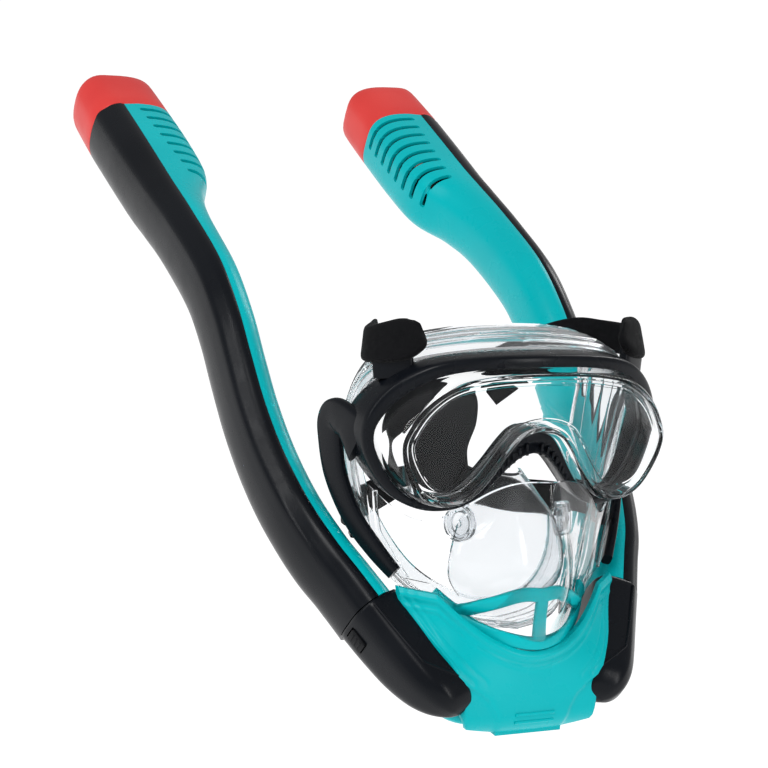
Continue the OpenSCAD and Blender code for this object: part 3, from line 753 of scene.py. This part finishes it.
def half_section(row, up, s, inset_by, gap, angles):
    wide = (row[4] if s > 0 else row[3]) - inset_by
    deep = row[5] / 2
    # The inner half grows squarer where it widens into the float housing
    square = SQUARE + (1.0 * min(max((row[3] - 20) / 14, 0), 1) if s < 0 else 0)
    u = s * (gap + (wide - gap) * power(np.cos(angles), 2 / square))
    v = deep + (deep - inset_by) * power(np.sin(angles), 2 / square)
    return row[:3] + np.outer(u, out_of(up)) + np.outer(v, back_of(up))


def shell_section(row, up, s):
    """One half of the tube wall, with a soft ridge on the outer half and eased edges at the seam."""
    angles = np.linspace(-math.pi / 2, math.pi / 2, 33)
    outer = half_section(row, up, s, 0, 0.12, angles)
    centre = row[:3] + back_of(up) * row[5] / 2
    if s > 0:
        ridge = 0.9 * bell(angles + 0.62, 0.2) - 0.35 * bell(angles + 1.0, 0.22)
        outer = outer + unit(outer - centre) * ridge[:, None]
    ease = (1 - np.abs(np.linspace(-1, 1, 33))) < 0.012
    outer[ease] += (centre - outer[ease]) * 0.025
    inner = half_section(row, up, s, WALL, 0.12, angles[::-1][::2])
    return np.vstack([outer, inner])


HOUSE_ROW = spline(TUBE, 3)[-4]
HOUSE_MID = (HOUSE_ROW[:3] + out_of(CAP_DIR) * (HOUSE_ROW[4] - HOUSE_ROW[3]) / 2
             + back_of(CAP_DIR) * HOUSE_ROW[5] / 2)
SLOT_PITCH = 11.2
SLOT_COUNT = 8


def slot_cutters(s):
    """Rounded slots round the upper inner corner of the housing, and a row of small windows under them."""
    cutters = []
    out, back = out_of(CAP_DIR), back_of(CAP_DIR)
    axes = [flip(out, s), back, flip(CAP_DIR, s)]
    for k in range(SLOT_COUNT):
        along = 30.9 - SLOT_PITCH * k
        shorter = 0.9 * k
        slot_at = HOUSE_MID + out * (-17.5 - shorter / 2) + back * -20 + CAP_DIR * along
        cutters.append(block(f"cutter_slot_{k}", (37 - shorter, 15.5, 3.8), axes, flip(slot_at, s), TEAL, None,
                             bevel=1.85))
        window_at = HOUSE_MID + out * -29 + back * -6.4 + CAP_DIR * along
        cutters.append(block(f"cutter_window_{k}", (20, 14, 4.2), axes, flip(window_at, s), TEAL, None, bevel=1.4))
    return cutters


def make_tube(side, s):
    body = f"tube_{side}"
    for part, half, material, slot in (("outer", 1, BLACK, "black_plastic"), ("inner", -1, TEAL, "teal_plastic")):
        loops = [flip(shell_section(row, up, half), s) for row, up in zip(TUBE_ROW, TUBE_RUN)]
        obj = loft(f"tube_{part}_{side}_shell", loops, material, body, node=f"tube_{part}_{side}", slot=slot, sharp=42)
        if part == "inner":
            cut(obj, slot_cutters(s))
    make_cap(side, s, body)


def make_cap(side, s, body):
    top = TUBE_ROW[-1].copy()
    top[:3] += CAP_DIR * 0.1
    angles = np.linspace(-math.pi / 2, math.pi / 2, 25)
    # Distance along the cap, then how far its section draws in
    dome = [(0, 1.2), (0.15, 0.7), (0.7, 0.15), (1.6, 0), (12, 0.1), (24, 0.3), (34, 0.5), (39, 0.7), (41.6, 1.1),
            (43.2, 1.8), (44.3, 2.8), (45, 4.2), (45.3, 5.6), (45.4, 7.5), (45.5, 11), (45.6, 15)]

    def ring(along, draw):
        outer = half_section(top, CAP_DIR, 1, draw, 0, angles)
        inner = half_section(top, CAP_DIR, -1, draw, 0, angles[::-1])[1:-1]
        return flip(np.vstack([outer, inner]) + CAP_DIR * along, s)
    inside = [(max(d - 2.4, 0), i + 2) for d, i in dome[::-1] if 3 < i + 2 < 15]
    loops = [ring(d, i) for d, i in inside] + [ring(d, i) for d, i in dome]
    loft(f"tube_cap_{side}_red", loops, RED, body, node=f"tube_cap_{side}", slot="red_plastic", sharp=50)


for side, s in SIDES:
    make_tube(side, s)

# ---------------------------------------------------------------- elbows
# Each elbow section: distance below the tube, then its inner, outer, front and back limits
ELBOW = [(0.3, -15.2, 14.2, -0.3, 46.6), (15, -15, 13.8, 0, 45.8), (30, -15, 13.4, 0, 44), (40, -15, 13, 0, 41.5),
         (50, -15, 12.2, 0, 37.5), (57, -15, 10.8, 0.4, 33.8), (63, -15, 8.6, 1.8, 29.6), (68, -15, 5.5, 4.5, 25),
         (72, -14.5, 1, 9, 20.5), (74, -14, -4, 13, 17)]
# The section as shares of its width and depth: a flat front face, a chamfer and a side face
ELBOW_SHAPE = np.array([(0.13, 0), (0.74, 0), (0.98, 0.2), (1, 0.7), (0.55, 1), (0.1, 0.94), (0, 0.7), (0, 0.16)])
ELBOW_BASE = (TUBE_ROW[0, :3] + out_of(PULL) * (TUBE_ROW[0, 4] - TUBE_ROW[0, 3]) / 2
              + back_of(PULL) * TUBE_ROW[0, 5] / 2)


RECESS = (20, 10, 12.5)
BORE_R, BORE_DEPTH = 11.4, 21.5


def make_elbow(side, s):
    ends = np.roll(ELBOW_SHAPE, -1, 0)
    share = np.arange(8)[:, None] / 8
    outline = smoothed(np.vstack([a + (b - a) * share for a, b in zip(ELBOW_SHAPE, ends)]), 5)
    out, back = out_of(PULL), back_of(PULL)
    # The rim under the tube is eased: distance below the tube, then how far the section draws in
    rows = [(t, draw, *ELBOW[0][1:]) for t, draw in ((0.3, 1.3), (0.6, 0.5), (1.5, 0.1))]
    rows += [(row[0], 0, *row[1:]) for row in spline(ELBOW, 6)[1:]]
    loops = []
    for t, draw, inner, outer, near, far in rows:
        u = inner + draw + (outer - inner - 2 * draw) * outline[:, 0]
        v = near + draw + (far - near - 2 * draw) * outline[:, 1]
        loops.append(flip(TUBE_ROW[0, :3] - PULL * t + np.outer(u, out) + np.outer(v, back), s))
    elbow = loft(f"elbow_{side}_black", loops, BLACK, "mask", node=f"elbow_{side}", slot="black_plastic", sharp=34)
    recess = ELBOW_BASE - PULL * 9.75 + out * 17
    axes = [flip(out, s), back, flip(PULL, s)]
    bore = ring_profile(flip(ELBOW_BASE, s), axes[2],
                        [(0.01, -BORE_DEPTH), (BORE_R, -BORE_DEPTH), (BORE_R, 2), (0.01, 2)], 64)
    cut(elbow, [block(f"cutter_recess_{side}", RECESS, axes, flip(recess, s), BLACK, None, bevel=0.8),
                loft(f"cutter_bore_{side}", bore, BLACK, None)])
    # A raised line down the front face, close to its outer edge
    t = np.linspace(3, 59, 40)
    u = np.interp(t, (0, 30, 44, 51, 59), (6, 4.4, 3, -2.5, -9.5))
    v = np.interp(t, [e[0] for e in ELBOW], [e[3] for e in ELBOW])
    path = TUBE_ROW[0, :3] - PULL * t[:, None] + out * u[:, None] + back * (v[:, None] + 0.35)
    bead(flip(path, s), 0.8, f"elbow_{side}_ridge", BLACK, "mask", slot="black_plastic")


def make_latch(side, s):
    out, back = out_of(PULL), back_of(PULL)
    at = ELBOW_BASE - PULL * 10 + out * 14.5
    block(f"latch_{side}_button", (2.6, 9, 11), [flip(out, s), back, flip(PULL, s)], flip(at, s), BLACK_MATT,
          f"latch_{side}", bevel=0.8, node=f"latch_button_{side}", slot="black_plastic")
    for k in range(3):
        rib = at + out * 1.3 + PULL * (k - 1) * 2.8
        block(f"latch_{side}_rib_{k + 1}", (0.8, 6.4, 1.0), [flip(out, s), back, flip(PULL, s)], flip(rib, s),
              BLACK_MATT, f"latch_{side}", bevel=0.3, slot="black_plastic")


for side, s in SIDES:
    make_elbow(side, s)
    make_latch(side, s)


# ---------------------------------------------------------------- straps and harness
FOLD = [(61, 33.5, 46, 8, 2.2), (62, 33.5, 45.5, 14, 4), (65, 34.5, 43.5, 19, 6.4), (69.5, 37, 41, 22, 8.4),
        (74.5, 41, 38.5, 22, 9.4), (79, 46.5, 36, 21, 9.4), (81, 52, 34.5, 19, 8.4), (79, 59, 34, 17.5, 6.4),
        (72, 70, 33, 18, 3.4), (63, 84, 30, 20, 2.2), (52, 103, 18, 22, 2.2), (42, 117, 0, 22, 2.2),
        (30, 121, -12, 21, 2.2)]
LOWER = [(76, 66.5, -64, 16, 2.2), (74, 79, -66, 16, 2.2), (66, 94, -69, 18, 2.2), (48, 110, -72, 20, 2.2),
         (30, 119, -69, 19, 2.2), (20, 122.4, -65, 18, 2.2)]


def strap(name, table, s, lean, node):
    """A run of webbing; each row is a centre, a width and a thickness."""
    rows = spline(table, 10)
    path = rows[:, :3]
    run = unit(np.gradient(path, axis=0))
    wide = unit(lean - run * (run @ lean)[:, None])
    high = np.cross(run, wide)
    loops = swept(path, wide, high, rows[:, 3] / 2, rows[:, 4] / 2, (0.3, 0.6), 28, s)
    return loft(name, loops, WEB, "mask", node=node, slot="black_webbing", sharp=50)


def make_straps(side, s):
    strap(f"upper_strap_{side}_web", FOLD, s, np.array((-0.15, 0.35, 1.0)), f"upper_strap_{side}")
    strap(f"lower_strap_{side}_web", LOWER, s, np.array((0, 0.1, 1.0)), f"lower_strap_{side}")
    # The bracket that holds the upper strap, a broad strip that rises from the corner of the frame
    post = spline([(72.5, 38, 20, 11, 3), (73, 39, 25, 11, 3.2), (73.5, 40, 30, 11, 3.2), (74, 41.5, 36, 10.5, 3),
                   (74.5, 43, 42, 9, 2.2)], 6)
    run = unit(np.gradient(post[:, :3], axis=0))
    along_edge = np.array((0.82, 0.5, -0.3))
    wide = unit(along_edge - run * (run @ along_edge)[:, None])
    high = np.cross(run, wide)
    loops = swept(post[:, :3], wide, high, post[:, 3], post[:, 4], (0.5, 0.5), 24, s)
    loft(f"strap_bracket_{side}", loops, BLACK, "mask", node=f"strap_clip_{side}", slot="black_plastic", sharp=45)


def make_lower_clip(side, s):
    """A small loop that the lower strap is threaded through."""
    turn = math.radians(15)
    axes = [(s * math.cos(turn), math.sin(turn), 0), (-s * math.sin(turn), math.cos(turn), 0), (0, 0, 1)]
    at = flip((77.6, 59, -64.5), s)
    clip = block(f"lower_clip_{side}_black", (3.0, 8, 20), axes, at, BLACK, "mask", bevel=0.9,
                 node=f"lower_clip_{side}", slot="black_plastic")
    cut(clip, [block(f"cutter_clip_{side}", (8, 4.2, 16), axes, at, BLACK, None, bevel=0.6)])


def make_pad():
    half = np.array([(0, 34), (16, 32), (27, 24), (29, 8), (25, -8), (27, -24), (20, -33), (0, -35)], float)
    line = mirrored(spline(half, 8))
    front = [np.stack([line[:, 0] * k, np.full(len(line), 124.0 + 1.2 * k ** 6), line[:, 1] * k - 40], 1)
             for k in (0.02, 0.3, 0.6, 0.85, 0.96, 1.0)]
    back = [np.stack([line[:, 0] * k, np.full(len(line), 129.0 - 1.2 * k ** 6), line[:, 1] * k - 40], 1)
            for k in (1.0, 0.96, 0.85, 0.6, 0.3, 0.02)]
    pad = loft("harness_pad_rubber", front + back, RUBBER, "mask", node="harness_pad", slot="black_rubber", sharp=60)


for side, s in SIDES:
    make_straps(side, s)
    make_lower_clip(side, s)
make_pad()

# ---------------------------------------------------------------- CAD pieces that keep their own shape
KEPT = {"lens_gasket": SILICONE, "purge_seat": BLACK_MATT, "purge_disc": SILICONE, "purge_cover": TEAL,
        "chin_screws": STEEL}
for side, s in SIDES:
    KEPT.update({f"spigot_{side}": BLACK_MATT, f"spigot_ring_{side}": RUBBER,
                 f"float_guide_{side}": BLACK_MATT, f"float_{side}": FOAM})
for name, material in KEPT.items():
    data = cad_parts[name].data
    data.materials.clear()
    data.materials.append(material)
